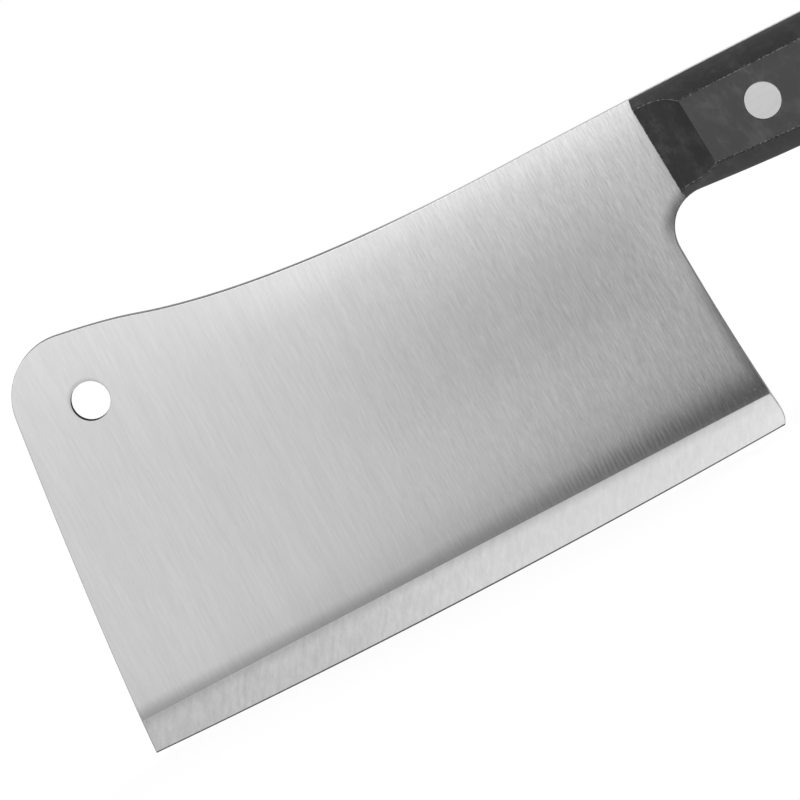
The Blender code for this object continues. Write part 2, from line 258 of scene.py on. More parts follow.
def underside_outline():
    """From the heel's top round the choil and along the handle's underside to its neck."""
    choil = choil_outline()
    belly = (HANDLE_BELLY_FROM_HEEL, SPINE_HEIGHT - HANDLE_BELLY_HEIGHT)
    front = curve(choil[-1], -HANDLE_FRONT_SLOPE, belly, 0, BELLY_PULLS)
    rear = curve(belly, 0, (NECK_FROM_HEEL, SPINE_HEIGHT - HANDLE_NECK_HEIGHT), 0, NECK_PULLS)
    return joined(choil, front, rear)


def handle_top_rear():
    return Vector((HANDLE_REACH - HANDLE_TOP_FROM_BUTT, SPINE_HEIGHT - HANDLE_TOP_DROP))


def butt_outline():
    """From the neck round the hook and the butt to the top of the handle."""
    neck = (NECK_FROM_HEEL, SPINE_HEIGHT - HANDLE_NECK_HEIGHT)
    hook = (HANDLE_REACH - HANDLE_HOOK_FROM_BUTT, SPINE_HEIGHT - HANDLE_HOOK_HEIGHT)
    tail = (HANDLE_REACH, hook[1] + HANDLE_TAIL_ABOVE_HOOK)
    return joined(
        curve(neck, 0, hook, 0, HOOK_PULLS),
        curve(hook, 0, tail, math.pi / 2, TAIL_PULLS),
        curve(tail, math.pi / 2, handle_top_rear(), math.pi, BUTT_PULLS),
    )


def top_outline():
    """From the handle's top rear corner forward to where the spine's straight ends."""
    front = Vector((0, SPINE_HEIGHT))
    handle = curve(handle_top_rear(), math.pi, front, math.pi, HANDLE_TOP_PULLS)
    return joined(handle, [front, Vector((-SPINE_STRAIGHT, SPINE_HEIGHT))])


def spine_outline():
    """The hollow spine and the round toe corner."""
    start = Vector((-SPINE_STRAIGHT, SPINE_HEIGHT))
    steepest = (SPINE_STEEPEST_FROM_TOE - BLADE_LENGTH, TOE_HEIGHT - SPINE_STEEPEST_BELOW_TOP)
    climb = math.pi - SPINE_STEEPEST_SLOPE
    corner_start = math.pi / 2 - TOE_CORNER_SLOPE
    corner = arc(toe_corner_centre(), TOE_CORNER_RADIUS, corner_start, toe_corner_end_angle())
    hollow = curve(start, math.pi, steepest, climb, HOLLOW_PULLS, 2 * CURVE_POINTS)
    crest = curve(steepest, climb, corner[0], math.pi - TOE_CORNER_SLOPE, CREST_PULLS)
    return joined(hollow, crest, corner)


def x_at(outline, height):
    """Where an outline that only rises reaches a height."""
    return float(np.interp(height, [point[1] for point in outline], [point[0] for point in outline]))


def z_at(outline, x):
    """The height of an outline at x, whichever way the outline runs."""
    points = sorted((point[0], point[1]) for point in outline)
    return float(np.interp(x, [point[0] for point in points], [point[1] for point in points]))


def outward_directions(loop):
    """Unit directions out of a closed loop of 2-D points, from each point's two neighbours."""
    area = sum(a.x * b.y - b.x * a.y for a, b in zip(loop, loop[1:] + loop[:1]))
    turn = 1 if area > 0 else -1
    directions = []
    for index, point in enumerate(loop):
        along = (loop[(index + 1) % len(loop)] - loop[index - 1]).normalized()
        directions.append(Vector((along.y, -along.x)) * turn)
    return directions


# Mesh helpers


def linked(data, name):
    """A new object with this data, in the scene."""
    holder = bpy.data.objects.new(name, data)
    bpy.context.scene.collection.objects.link(holder)
    return holder


class Shell:
    """Vertices with their own normals, and faces with material numbers."""

    def __init__(self):
        self.points = []
        self.normals = []
        self.faces = []
        self.materials = []

    def vertex(self, x, y, z, normal):
        self.points.append((HEEL_X + x, y, EDGE_Z + z))
        self.normals.append(Vector(normal).normalized())
        return len(self.points) - 1

    def face(self, corners, material=0):
        self.faces.append(corners)
        self.materials.append(material)

    def quads(self, first, second, material=0):
        """Quads between two rows of the same number of vertices."""
        for index in range(len(first) - 1):
            self.face((first[index], first[index + 1], second[index + 1], second[index]), material)

    def band(self, first, second, material=0):
        """Quads between two closed rings of the same number of vertices."""
        self.quads(first + first[:1], second + second[:1], material)

    def plate(self, outer, holes=(), material=0):
        """A flat face inside a ring of vertices, round any holes."""
        rings = [outer, *holes]
        flat = [i for ring in rings for i in ring]
        loops = [[Vector((self.points[i][0], self.points[i][2], 0)) for i in ring] for ring in rings]
        for triangle in tessellate_polygon(loops):
            self.face(tuple(flat[corner] for corner in triangle), material)

    def build(self, name, materials, own_normals=True):
        mesh = bpy.data.meshes.new(name)
        mesh.from_pydata(self.points, [], self.faces)
        mesh.polygons.foreach_set("material_index", self.materials)
        bm = bmesh.new()
        bm.from_mesh(mesh)
        bmesh.ops.recalc_face_normals(bm, faces=bm.faces[:])
        bm.to_mesh(mesh)
        bm.free()
        for material in materials:
            mesh.materials.append(material)
        mesh.shade_smooth()
        lay_flat_uv(mesh)
        if own_normals:
            mesh.normals_split_custom_set_from_vertices(self.normals)
        return linked(mesh, name)


def lay_flat_uv(mesh):
    """A map with u along X and v along Z, whose tangent the brushed steel needs."""
    layer = mesh.uv_layers.new(name="flat")
    places = [mesh.vertices[loop.vertex_index].co for loop in mesh.loops]
    layer.data.foreach_set("uv", [value for place in places for value in (place.x, place.z)])


def ring_at(shell, centre, radius, y, normal_y, outward=0.0):
    """A ring of vertices about Y whose normals point along Y and away from the axis."""
    ring = []
    for step in range(ROUND_SEGMENTS):
        angle = 2 * math.pi * step / ROUND_SEGMENTS
        c, s = math.cos(angle), math.sin(angle)
        normal = (outward * c, normal_y, outward * s)
        ring.append(shell.vertex(centre[0] + radius * c, y, centre[1] + radius * s, normal))
    return ring


# Blade

FACE, BEVEL, HONED, RIM, HOLE = range(5)


def bevel_slope():
    return (SHOULDER_THICKNESS - MICRO_BEVEL_THICKNESS) / 2 / (BEVEL_HEIGHT - MICRO_BEVEL_HEIGHT)


def taper(height):
    """(half thickness, slope) at a height above the shoulder, on the taper up to full thickness."""
    shoulder = SHOULDER_THICKNESS / 2
    span = TAPER_HEIGHT - BEVEL_HEIGHT
    left = max(1 - height / span, 0.0)
    rise = HALF_BLADE - shoulder
    return HALF_BLADE - rise * left**TAPER_POWER, TAPER_POWER * rise / span * left ** (TAPER_POWER - 1)


def section_rows():
    """(share of the bevel, height above it, half thickness, slope) for each row along the blade."""
    micro_slope = (MICRO_BEVEL_THICKNESS - EDGE_THICKNESS) / 2 / MICRO_BEVEL_HEIGHT
    crisp = SHORTEST_EDGE / 4
    rows = [(0.0, 0.0, EDGE_THICKNESS / 2, micro_slope)]
    micro_top = MICRO_BEVEL_HEIGHT - crisp
    rows.append((micro_top / BEVEL_HEIGHT, 0.0,
                 EDGE_THICKNESS / 2 + micro_slope * micro_top, micro_slope))
    top = BEVEL_HEIGHT - SHOULDER_ROUNDING_BELOW
    for height in np.linspace(MICRO_BEVEL_HEIGHT + crisp, top, BEVEL_ROWS):
        half = MICRO_BEVEL_THICKNESS / 2 + bevel_slope() * (height - MICRO_BEVEL_HEIGHT)
        rows.append((height / BEVEL_HEIGHT, 0.0, half, bevel_slope()))
    turn = bevel_slope() - taper(0)[1]
    drop = SHOULDER_ROUNDING_ABOVE * turn * SHOULDER_SLOPE_SHARE / 2
    slope = taper(0)[1] + turn * SHOULDER_SLOPE_SHARE
    rows.append((1.0, 0.0, SHOULDER_THICKNESS / 2 - drop, slope))
    for height in np.linspace(SHOULDER_ROUNDING_ABOVE, TAPER_HEIGHT - BEVEL_HEIGHT, TAPER_ROWS):
        rows.append((1.0, height, *taper(height)))
    return rows


def row_points(share, lift, heel, toe):
    """A row's (x, z) points from heel to toe: bellied at the edge, straight at the shoulder."""
    level = BEVEL_HEIGHT * share + lift
    ends = x_at(heel, level), x_at(toe, level)
    points = []
    for along in np.linspace(0, 1, BLADE_STATIONS + 1):
        sag = 4 * EDGE_BELLY * along * (1 - along) * (1 - share)
        points.append(Vector((ends[0] + (ends[1] - ends[0]) * along, level - sag)))
    return points


def blade_holes():
    """(centre, radius) of the hanging hole and of the three rivet bores in the tang."""
    hanging = (HANGING_HOLE_FROM_TOE - BLADE_LENGTH, TOE_HEIGHT - HANGING_HOLE_BELOW_TOP)
    bore = RIVET_TUBE_DIAMETER / 2 + RIVET_BORE_GAP
    return [(hanging, HANGING_HOLE_DIAMETER / 2)] + [(place, bore) for place in rivet_places()]


def make_blade(steels):
    heel, toe = heel_outline(), toe_outline()
    body = joined(heel, underside_outline(), butt_outline(), top_outline(), spine_outline(), toe[::-1])
    above = [Vector(point) for point in body if point[1] > TAPER_HEIGHT + SHORTEST_EDGE]
    rows = section_rows()
    grid = [row_points(share, lift, heel, toe) for share, lift, _, _ in rows]
    bevel_rows = sum(1 for row in rows if row[0] < 1)
    shell = Shell()
    rims, hole_rims = [], []
    for side in (-1, 1):
        sheet = []
        for row, (_, _, half, slope) in zip(grid, rows):
            sheet.append([shell.vertex(p.x, side * half, p.y, (0, side, -slope)) for p in row])
        top = [shell.vertex(p.x, side * HALF_BLADE, p.y, (0, side, 0)) for p in above]
        for number, (lower, upper) in enumerate(zip(sheet, sheet[1:])):
            shell.quads(lower, upper, HONED if number == 0 else BEVEL if number < bevel_rows else FACE)
        loop = (sheet[0] + [row[-1] for row in sheet[1:]] + top[::-1]
                + [row[0] for row in sheet[:0:-1]])
        rims.append(ease_border(shell, loop, side, len(sheet[0])))
        inner = []
        for centre, radius in blade_holes():
            rings = ease_hole(shell, centre, radius, side)
            inner.append(rings[0])
            hole_rims.append(rings[1])
        shell.plate(top + sheet[-1][::-1], inner)
    shell.band(rims[0], rims[1], RIM)
    count = len(hole_rims) // 2
    for near, far in zip(hole_rims[:count], hole_rims[count:]):
        shell.band(near, far, HOLE)
    return shell.build("blade_fine", steels)


def eased_width(point, outward):
    """How far in the rounding of the border starts: further in the hollow of the spine."""
    if outward.y <= FACES_UP:
        return EASED_EDGE
    along = (point.x - BLADE_LOW.x) / BLADE_LENGTH
    rising = min(max((along - WORN_FROM) / WORN_FADE, 0.0), 1.0)
    falling = min(max((WORN_TO - along) / WORN_FADE, 0.0), 1.0)
    return EASED_EDGE * (1 + SPINE_WEAR * rising * falling)


def ease_border(shell, loop, side, edge_count):
    """Moves a side's border in and rounds it over to the outline. Returns the outline's ring."""
    flat = [Vector((shell.points[i][0], shell.points[i][2])) for i in loop]
    outward = outward_directions(flat)
    halves = [abs(shell.points[i][1]) for i in loop]
    widths = [eased_width(point, out) for point, out in zip(flat, outward)]
    eases = [EASED_CUTTING_EDGE if n < edge_count else min(width, half / 2)
             for n, (width, half) in enumerate(zip(widths, halves))]
    for i, point, out, ease in zip(loop, flat, outward, eases):
        moved = point - out * ease
        shell.points[i] = (moved.x, shell.points[i][1], moved.y)
    before = loop
    for step in range(1, EASE_STEPS + 1):
        turn = math.pi / 2 * step / EASE_STEPS
        ring = []
        for point, out, half, ease in zip(flat, outward, halves, eases):
            place = point - out * ease * (1 - math.sin(turn))
            y = side * (half - ease * (1 - math.cos(turn)))
            normal = (out.x * math.sin(turn), side * math.cos(turn), out.y * math.sin(turn))
            ring.append(shell.vertex(place.x - HEEL_X, y, place.y - EDGE_Z, normal))
        shell.band(before, ring, FACE if step == 1 else RIM)
        before = ring
    return before


def ease_hole(shell, centre, radius, side):
    """Rounds a hole's rim into the hole. Returns the ring on the face and the one in the hole."""
    rings = []
    for step in range(EASE_STEPS + 1):
        turn = math.pi / 2 * step / EASE_STEPS
        y = side * (HALF_BLADE - EASED_HOLE * (1 - math.cos(turn)))
        wide = radius + EASED_HOLE * (1 - math.sin(turn))
        rings.append(ring_at(shell, centre, wide, y, side * math.cos(turn), -math.sin(turn)))
    for outer, inner in zip(rings, rings[1:]):
        shell.band(outer, inner, HOLE)
    return rings[0], rings[-1]


# Scales

PANEL, BUFFED, RIDGE = range(3)


def scale_front(height):
    """The front line of the scales, leaning towards the toe as it rises."""
    return SCALE_FRONT_FROM_HEEL - (height - CHOIL_TOP) * math.tan(SCALE_FRONT_LEAN)


def scale_thickness(x, height):
    """Full thickness, scooped down to the front line."""
    share = min(max((x - scale_front(height)) / SCOOP_LENGTH, 0.0), 1.0)
    rise = SCALE_THICKNESS - SCALE_FRONT_THICKNESS
    return SCALE_FRONT_THICKNESS + rise * share**SCOOP_POWER


def facet_inset(thickness):
    """How far in from the outline the facet has come at this thickness."""
    return FACET_HEIGHT * (thickness / SCALE_THICKNESS) ** FACET_CROWN


def scale_shares():
    """Shares of the way from the front line to the neck: close together over the scoop."""
    scoop_end = SCOOP_LENGTH / (NECK_FROM_HEEL - scale_front(CHOIL_TOP))
    scoop = np.linspace(0, scoop_end, SCOOP_STATIONS)
    grip = np.linspace(scoop_end, 1, GRIP_STATIONS)
    return list(scoop) + list(grip)[1:]


def scale_outline():
    """(point, inward direction) round a scale, from its lower front corner to its upper one."""
    underside = [point for point in underside_outline() if point[1] > CHOIL_CENTRE_HEIGHT]
    top = top_outline()
    lower, upper = [], []
    for outline, points, inward, level in (
        (underside, lower, Vector((0, 1)), CHOIL_TOP),
        (top, upper, Vector((0, -1)), SPINE_HEIGHT),
    ):
        front = scale_front(level)
        for share in scale_shares():
            x = front + (NECK_FROM_HEEL - front) * share
            points.append((Vector((x, z_at(outline, x))), inward))
    behind_neck = [point for point in top if point[0] > NECK_FROM_HEEL + SHORTEST_EDGE]
    tail = joined(butt_outline(), behind_neck)[1:]
    path = [lower[-1][0]] + tail + [upper[-1][0]]
    butt = []
    for before, point, after in zip(path, path[1:], path[2:]):
        along = (after - before).normalized()
        butt.append((point, Vector((-along.y, along.x))))
    return lower, butt, upper[::-1]


def facet_profile(thickness):
    """(inset, y above the inner face) across the facet, its ridge and the faint groove behind it."""
    heights = list(np.linspace(0, thickness - RIDGE_ROUNDING, FACET_RINGS))
    profile = [(facet_inset(height), height) for height in heights]
    ridge = facet_inset(thickness)
    behind = ridge + RIDGE_ROUNDING
    depth = GROOVE_DEPTH * (thickness / SCALE_THICKNESS) ** 2
    for inset, drop in RIDGE_RINGS:
        profile.append((ridge + RIDGE_ROUNDING * inset, thickness - RIDGE_ROUNDING * drop))
    for inset, drop in GROOVE_RINGS:
        profile.append((behind + GROOVE_WIDTH * inset, thickness - depth * drop))
    return profile


def make_scale(name, side, plastics):
    lower, butt, upper = scale_outline()
    outline = lower + butt + upper
    shell = Shell()
    rings = []
    profiles = [facet_profile(scale_thickness(point.x, point.y)) for point, _ in outline]
    for number in range(len(profiles[0])):
        ring = []
        for (point, inward), profile in zip(outline, profiles):
            inset, height = profile[number]
            moved = point + inward * inset
            ring.append(shell.vertex(moved.x, side * (SCALE_INNER_FACE + height), moved.y, (0, side, 0)))
        rings.append(ring)
    for number, (inner, outer) in enumerate(zip(rings, rings[1:])):
        on_ridge = number >= len(rings) - 1 - len(GROOVE_RINGS)
        shell.quads(inner, outer, RIDGE if on_ridge else BUFFED)
    columns = scoop_columns(shell, rings[-1], side)
    for before, after in zip(columns, columns[1:]):
        shell.quads(before, after, BUFFED)
    face_ring = columns[-1] + rings[-1][len(outline) - SCOOP_STATIONS: SCOOP_STATIONS - 1: -1]
    outer_rims, inner_rims = [], []
    for place in rivet_places():
        outer, inner = scale_bore(shell, place, side)
        outer_rims.append(outer)
        inner_rims.append(inner)
    shell.plate(face_ring, outer_rims, PANEL)
    shell.plate(rings[0], inner_rims, PANEL)
    front = [ring[0] for ring in rings] + columns[0][1:-1] + [ring[-1] for ring in reversed(rings)]
    shell.face(tuple(front), BUFFED)
    piece = shell.build(name, plastics, own_normals=False)
    piece.data.set_sharp_from_angle(angle=CREASE_ANGLE)
    weighted = piece.modifiers.new("normals", "WEIGHTED_NORMAL")
    weighted.keep_sharp = True
    return piece


def scoop_columns(shell, ridge, side):
    """Columns of vertices from the lower ridge to the upper one, for each station of the scoop."""
    columns = []
    for station in range(SCOOP_STATIONS):
        ends = ridge[station], ridge[len(ridge) - 1 - station]
        low, high = (Vector(shell.points[i]) for i in ends)
        column = [ends[0]]
        for share in np.linspace(0, 1, SCOOP_ROWS)[1:-1]:
            x = low.x + (high.x - low.x) * share - HEEL_X
            z = low.z + (high.z - low.z) * share - EDGE_Z
            y = side * (SCALE_INNER_FACE + scale_thickness(x, z))
            column.append(shell.vertex(x, y, z, (0, side, 0)))
        columns.append(column + [ends[1]])
    return columns


def scale_bore(shell, place, side):
    """A rivet's stepped bore through a scale. Returns its rims on the outer and the inner face."""
    head = rivet_head_radius() + RIVET_JOINT
    tube = RIVET_TUBE_DIAMETER / 2 + RIVET_BORE_GAP
    seat = rivet_face() - RIVET_HEAD_THICKNESS - RIVET_JOINT
    outer = SCALE_INNER_FACE + SCALE_THICKNESS
    rings = [ring_at(shell, place, radius, side * y, 0, -1)
             for radius, y in ((head, outer), (head, seat), (tube, seat), (tube, SCALE_INNER_FACE))]
    for before, after in zip(rings, rings[1:]):
        shell.band(before, after)
    return rings[0], rings[-1]


# Rivets


def rivet_places():
    """Rivet centres as (x, z) from the heel corner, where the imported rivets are."""
    places = []
    for name in RIVET_NAMES:
        low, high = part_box(name + "_female")
        places.append(((low.x + high.x) / 2 - HEEL_X, (low.z + high.z) / 2 - EDGE_Z))
    return places


def rivet_head_radius():
    """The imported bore's radius less the thin joint that shows round a finished rivet."""
    low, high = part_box("front_rivet_male")
    return (high.x - low.x) / 2 + RIVET_BORE_GAP - RIVET_JOINT


def rivet_face():
    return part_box("front_rivet_male")[1].y


def turned(name, place, profile, material):
    """A solid turned about Y from (radius, y) pairs that start and end on the axis."""
    shell = Shell()
    rings = [[shell.vertex(place[0], y, place[1], (0, 1, 0))] if radius == 0
             else ring_at(shell, place, radius, y, 0, 1) for radius, y in profile]
    for inner, outer in zip(rings, rings[1:]):
        for step in range(ROUND_SEGMENTS):
            corners = [ring[(step + turn) % len(ring)] for ring, turn in
                       ((inner, 0), (inner, 1), (outer, 1), (outer, 0))]
            shell.face(tuple(dict.fromkeys(corners)))
    piece = shell.build(name, [material], own_normals=False)
    piece.data.set_sharp_from_angle(angle=RIVET_CREASE_ANGLE)
    return piece


def make_rivet(name, place, material):
    """The female half, with its head on the left, and the male half, whose pin it takes."""
    face = rivet_face()
    seat = face - RIVET_HEAD_THICKNESS
    head = rivet_head_radius()
    rim = head - RIVET_CHAMFER
    inner = rim - RIVET_CHAMFER
    side = face - RIVET_CHAMFER / 2
    tube = RIVET_TUBE_DIAMETER / 2
    pin = RIVET_PIN_DIAMETER / 2
    bore = pin + RIVET_BORE_GAP
    pin_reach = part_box(name + "_male")[0].y
    bore_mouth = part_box(name + "_female")[1].y
    female = [(0, -face), (inner, -face), (rim, -face), (head, -side), (head, -seat),
              (tube, -seat), (tube, bore_mouth), (bore, bore_mouth), (bore, -seat), (0, -seat)]
    male = [(0, face), (inner, face), (rim, face), (head, side), (head, seat),
            (pin, seat), (pin, pin_reach), (0, pin_reach)]
    return (turned(name + "_female_fine", place, female, material),
            turned(name + "_male_fine", place, male, material))


# Materials


class Ramp(NamedTuple):
    """A value that goes from one level to another over a span, and is held beyond both ends."""

    low: float
    high: float
    at_low: float = 0.0
    at_high: float = 1.0
    kind: str = "SMOOTHSTEP"


class Grain(NamedTuple):
    """Noise with this many features per metre along X, Y and Z, turned about Y."""

    features: tuple
    detail: float = 3.0
    roughness: float = 0.6
    turn: float = 0.0


def add_node(tree, kind, inputs=None, **settings):
    """A node with its settings, and with each input set to a value or linked to a field or socket."""
    node = tree.nodes.new(kind)
    for name, value in settings.items():
        setattr(node, name, value)
    for key, value in (inputs or {}).items():
        value = value.socket if isinstance(value, Field) else value
        if isinstance(value, bpy.types.NodeSocket):
            tree.links.new(value, node.inputs[key])
        else:
            node.inputs[key].default_value = value
    return node


class Field:
    """A value that varies over a surface. Arithmetic and ramps on it add nodes to its tree."""

    def __init__(self, socket):
        self.socket = socket
        self.tree = socket.id_data

    def node(self, kind, inputs, **settings):
        return Field(add_node(self.tree, kind, inputs, **settings).outputs[0])

    def maths(self, operation, other=0.0):
        return self.node("ShaderNodeMath", {0: self, 1: other}, operation=operation)

    def __add__(self, other):
        return self.maths("ADD", other)

    def __sub__(self, other):
        return self.maths("SUBTRACT", other)

    def __mul__(self, other):
        return self.maths("MULTIPLY", other)

    def __truediv__(self, other):
        return self.maths("DIVIDE", other)

    def spread(self, low, high):
        """The range from 0 to 1 carried to the range from low to high."""
        return self * (high - low) + low

    def ramp(self, ramp):
        inputs = {"Value": self, "From Min": ramp.low, "From Max": ramp.high,
                  "To Min": ramp.at_low, "To Max": ramp.at_high}
        return self.node("ShaderNodeMapRange", inputs, interpolation_type=ramp.kind)

    def within(self, marks):
        """1 between the inner two of four marks, and 0 beyond the outer two."""
        return self.ramp(Ramp(*marks[:2])) * self.ramp(Ramp(*marks[2:], 1.0, 0.0))

    def mix(self, first, second):
        """The first value where this is 0, and the second where it is 1."""
        return self.node("ShaderNodeMix", {0: self, 2: first, 3: second}, data_type="FLOAT")

    def grey(self):
        return self.node("ShaderNodeCombineColor", {"Red": self, "Green": self, "Blue": self})


def place_of(tree):
    """The point in the frame as a socket, then its x from the heel, its y and its z from the edge."""
    point = add_node(tree, "ShaderNodeTexCoord").outputs["Object"]
    inputs = {0: point, 1: (HEEL_X, 0, EDGE_Z)}
    moved = add_node(tree, "ShaderNodeVectorMath", inputs, operation="SUBTRACT").outputs["Vector"]
    parts = add_node(tree, "ShaderNodeSeparateXYZ", {"Vector": moved}).outputs
    return point, *(Field(part) for part in parts)


def principled(name):
    """A material, its shader and what place_of gives."""
    material = bpy.data.materials.new(name)
    material.use_nodes = True
    return material, material.node_tree.nodes["Principled BSDF"], *place_of(material.node_tree)


def noise(point, grain):
    """The grain's noise at a point, as a field."""
    tree = point.id_data
    if grain.turn:
        inputs = {"Vector": point, "Rotation": (0, grain.turn, 0)}
        point = add_node(tree, "ShaderNodeMapping", inputs).outputs["Vector"]
    inputs = {"Vector": point, "Scale": grain.features}
    point = add_node(tree, "ShaderNodeMapping", inputs).outputs["Vector"]
    inputs = {"Vector": point, "Scale": 1.0, "Detail": grain.detail, "Roughness": grain.roughness}
    return Field(add_node(tree, "ShaderNodeTexNoise", inputs).outputs["Fac"])


STEEL_TONE = 0.60

# Spans along X are measured from the heel, and spans along Z from the edge, if not said otherwise.
# Painted shade along the face's rear border, by the heel and the choil, and round the upper side of the
# hanging hole.
HEEL_SHADE_WIDTH = 0.0040
HEEL_SHADE_DEPTH = Ramp(0.032, 0.048, 0.56, 0.84)
CHOIL_SHADE_DEPTH = Ramp(0.051, 0.060, 0.90, 0.34)
HOLE_SHADE_SHIFT = (-0.0002, 0.0006)
HOLE_SHADE_FROM_CIRCLE = Ramp(-0.0003, 0.0007, 0.80, 1.0)

# Ribs that the grinding wheel left, measured up from the shoulder
CHATTER_SPACING = 0.0012
CHATTER_WANDER = 14.0
CHATTER_DEPTH = 0.12
CHATTER_UP = (0.0004, 0.0016, 0.0030, 0.0070)
CHATTER_ALONG = (-0.064, -0.048, -0.030, -0.012)

# Nicks in the corner between the heel and the shoulder, measured up from the shoulder
NICKS = Grain((1500, 1500, 1100))
NICK_LEVELS = Ramp(0.63, 0.70)
NICK_TONE = 0.5
NICKS_NEAR_HEEL = Ramp(-0.016, -0.002)
NICKS_NEAR_SHOULDER = Ramp(0.0005, 0.0055, 1.0, 0.0)

# Painted shade in a darker cloud and a painted highlight in a brighter strip of the face
SHADE_CLOUD_UP = (0.032, 0.052, 0.058, 0.082)
SHADE_CLOUD_ALONG = (-0.120, -0.045, -0.020, -0.003)
SHADE_CLOUD_DEPTH = 0.11
HIGHLIGHT_STRIP_BOTTOM = Ramp(0.080, 0.090)
HIGHLIGHT_STRIP_TOEWARD = Ramp(-0.125, -0.085)
HIGHLIGHT_STRIP_GAIN = 0.11

# The face. The darker band above the shoulder is painted shade; its tone is a ramp over shares of its
# width above the shoulder.
FACE_FINE = Grain((3600, 300, 360), roughness=0.7)
FACE_LONG = Grain((1900, 300, 110))
FACE_BROAD = Grain((200, 60, 30), detail=2.0, roughness=0.5)
FACE_LONG_TONES = (0.925, 1.075)
FACE_BROAD_TONES = (0.96, 1.04)
FINE_CONTRAST_ALONG = Ramp(-0.110, 0.0, 0.13, 0.85, "LINEAR")
FINE_CONTRAST_UP = Ramp(0.040, 0.075, 1.0, 0.75)
PAINTED_SHADE_BAND_WIDTH = Ramp(-0.100, 0.0, 0.0046, 0.011, "LINEAR")
PAINTED_SHADE_BAND_TONE = Ramp(0.0, 1.0, 0.58, 1.0)
FACE_ROUGHNESS = (0.21, 0.29)

# The narrow sides: sheared grain darkened with painted shade, and painted light at the rear of the spine
# and at the heel's bulge
RIM_DRAG = Grain((900, 3000, 900), roughness=0.7)
RIM_SPREAD = 4
RIM_ROUGHNESS = (0.35, 0.55)
RIM_PAINTED_LIGHT_SPINE = Ramp(0.078, 0.088)
RIM_PAINTED_LIGHT_BULGE = Ramp(0.0085, 0.0105, 1.0, 0.0)
RIM_PAINTED_LIGHT_REAR = Ramp(-0.080, -0.045)
RIM_PAINTED_LIGHT_GAIN = 1.8

# The bevel, with painted light towards the heel and painted shade towards the toe and under the shoulder
BEVEL_COARSE = Grain((900, 300, 260), roughness=0.65, turn=math.radians(-32))
BEVEL_FINE = Grain((3600, 300, 300), roughness=0.7, turn=math.radians(20))
BEVEL_COARSE_CONTRAST = 0.26
BEVEL_FINE_CONTRAST = 0.14
BEVEL_MIDDLE = (BEVEL_COARSE_CONTRAST + BEVEL_FINE_CONTRAST) / 2
BEVEL_CONTRAST_ALONG = Ramp(-0.130, -0.050, 1.7, 1.0)
BEVEL_TONE_AND_PAINTED_LIGHT = Ramp(-BLADE_LENGTH, 0.0, STEEL_TONE * 0.90, STEEL_TONE * 1.26, "LINEAR")
BEVEL_TOE_PAINTED_SHADE = Ramp(-0.130, -0.080, 0.90, 1.0)
BEVEL_TOP_PAINTED_SHADE = Ramp(0.0060, BEVEL_HEIGHT, 1.0, 0.82)
BEVEL_TOP_SHADE_EASED_AT_HEEL = Ramp(-0.025, 0.0, 0.82, 1.0, "LINEAR")
BEVEL_ROUGHNESS = (0.26, 0.40)

# The honed strip and the rivet heads
HONED_FINE = Grain((2600, 300, 600))
HONED_TONES = (0.04, 0.14)
HONED_ROUGHNESS = (0.22, 0.32)
RIVET_FINE = Grain((120, 300, 4200), roughness=0.7)
RIVET_BLOTCHES = Grain((500, 500, 500), detail=2.0, roughness=0.5)
RIVET_FINE_CONTRAST = 0.14
RIVET_BLOTCH_CONTRAST = 0.06
RIVET_DARKEST = 0.46
RIVET_ROUGHNESS = (0.24, 0.36)

# The handle's plastic
PEBBLES = Grain((2600, 2600, 2600))
STREAKS = Grain((500, 500, 110), detail=4.0, roughness=0.7)
SMUDGES = Grain((260, 260, 170), detail=4.0, turn=math.radians(30))
SPECKS = Grain((1500, 1500, 1500), detail=2.0, roughness=0.5)
PEBBLE_TONES = (0.55, 0.90)
STREAK_TONES = Ramp(0.50, 0.75, 0.0, 0.4)
SMUDGE_TONES = Ramp(0.46, 0.72, 0.0, 0.6)
# Bright specks on the ridges and edges: partly rubbed wear, partly painted highlight
SPECK_LEVELS = Ramp(0.46, 0.60)
SPECK_WEAR_AND_HIGHLIGHT_TONE = 0.2
WEAR_AND_HIGHLIGHT_RADIUS = 0.0004
EDGE_SAMPLES = 6
WEAR_AND_HIGHLIGHT_TURN = Ramp(0.004, 0.05)
# Painted shade: where the handle's tone darkens behind its front, measured from the heel
PAINTED_SHADE_SPAN = (0.008, 0.020)
STREAK_ROUGHNESS = 0.08
STREAK_HEIGHT = 0.6
PLASTIC_DEPTH = 0.000012


def surfaced(shader, tone, roughness, height, depth):
    """Grey of this tone and roughness, with bump of this depth where the height goes from 0 to 1."""
    bump = height.node("ShaderNodeBump", {"Height": height, "Distance": depth, "Strength": 1.0})
    for name, field in (("Base Color", tone.grey()), ("Roughness", roughness), ("Normal", bump)):
        tone.tree.links.new(field.socket, shader.inputs[name])


def brushed(shader, tone, grain, roughness, depth, anisotropy):
    """Steel of this tone whose grain line the light spreads across."""
    shader.inputs["Metallic"].default_value = 1.0
    shader.inputs["Anisotropic"].default_value = anisotropy
    tangent = tone.node("ShaderNodeTangent", {}, direction_type="UV_MAP", uv_map="flat")
    tone.tree.links.new(tangent.socket, shader.inputs["Tangent"])
    surfaced(shader, tone, grain.spread(*roughness), grain, depth)


def beyond_circle(x, z, centre, radius):
    """How far a point lies outside a circle about Y."""
    across, up = x - centre[0], z - centre[1]
    return (across * across + up * up).maths("SQRT") - radius


